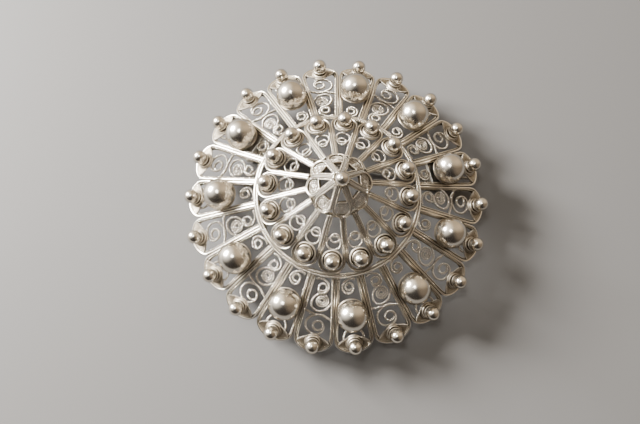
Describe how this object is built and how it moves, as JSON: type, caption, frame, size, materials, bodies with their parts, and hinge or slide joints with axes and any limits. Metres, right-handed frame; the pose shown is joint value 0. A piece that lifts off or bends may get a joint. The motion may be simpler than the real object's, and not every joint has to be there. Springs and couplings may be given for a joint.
{
  "type": "brooch",
  "caption": "Round domed filigree brooch in silver wire, with rings of balls, a hinged pin and a roll-over safety catch behind.",
  "frame": {"origin": "middle of the base, on the axis of the rings and level with the lowest edges of the catch housing", "axes": "+Z out of the front of the brooch, +Y towards the top as worn, +X towards the catch, along the closed pin"},
  "size_m": [0.0446, 0.045, 0.02],
  "materials": {
    "silver_strip": "aged silver strip, softly worn",
    "silver_wire": "twisted silver wire, darkened in the grooves",
    "silver_ball": "polished silver with light tarnish",
    "silver_seat": "oxidised silver",
    "fitting_metal": "satin silver",
    "pin_metal": "drawn wire, polished"
  },
  "bodies": {
    "brooch": {"dome_cell_01": "silver_strip", "dome_cell_02": "silver_strip", "dome_cell_03": "silver_strip", "dome_cell_04": "silver_strip", "dome_cell_05": "silver_strip", "dome_cell_06": "silver_strip", "dome_cell_07": "silver_strip", "dome_cell_08": "silver_strip", "dome_cell_09": "silver_strip", "dome_cell_10": "silver_strip", "dome_cell_11": "silver_strip", "scroll_cell_01": "silver_strip", "scroll_cell_02": "silver_strip", "scroll_cell_03": "silver_strip", "scroll_cell_04": "silver_strip", "scroll_cell_05": "silver_strip", "scroll_cell_06": "silver_strip", "scroll_cell_07": "silver_strip", "scroll_cell_08": "silver_strip", "scroll_cell_09": "silver_strip", "scroll_cell_10": "silver_strip", "scroll_cell_11": "silver_strip", "inner_petal_01": "silver_strip", "inner_petal_02": "silver_strip", "inner_petal_03": "silver_strip", "inner_petal_04": "silver_strip", "inner_petal_05": "silver_strip", "inner_petal_06": "silver_strip", "inner_petal_07": "silver_strip", "inner_petal_08": "silver_strip", "inner_petal_09": "silver_strip", "inner_petal_10": "silver_strip", "inner_petal_11": "silver_strip", "inner_petal_12": "silver_strip", "inner_petal_13": "silver_strip", "inner_petal_14": "silver_strip", "inner_petal_15": "silver_strip", "inner_petal_16": "silver_strip", "tier_ring": "silver_strip", "crown_frames": "silver_strip", "crown_ring": "silver_strip", "outer_scrolls": "silver_wire", "dome_cell_scrolls": "silver_wire", "inner_scrolls": "silver_wire", "coil_discs": "silver_wire", "crown_coils": "silver_wire", "domes": "silver_ball", "rim_balls": "silver_ball", "inner_balls": "silver_ball", "top_ball": "silver_ball", "rim_seats": "silver_seat", "inner_cups": "silver_seat", "top_seat": "silver_seat", "hinge_plate": "fitting_metal", "catch_plate": "fitting_metal", "hinge_bracket": "fitting_metal", "hinge_rivet": "fitting_metal", "catch_housing": "fitting_metal"},
    "pin": {"pin_stem": "pin_metal"},
    "collar": {"catch_collar": "fitting_metal"}
  },
  "joints": [
    {"name": "pin_hinge", "type": "hinge", "parent": "brooch", "child": "pin", "pos_m": [-0.01455, 0.00665, 0.00124], "axis": [0, 1, 0], "range_deg": [0, 100]},
    {"name": "catch_turn", "type": "hinge", "parent": "brooch", "child": "collar", "pos_m": [0.01455, 0.00665, 0.00124], "axis": [1, 0, 0], "range_deg": [0, 150]}
  ]
}
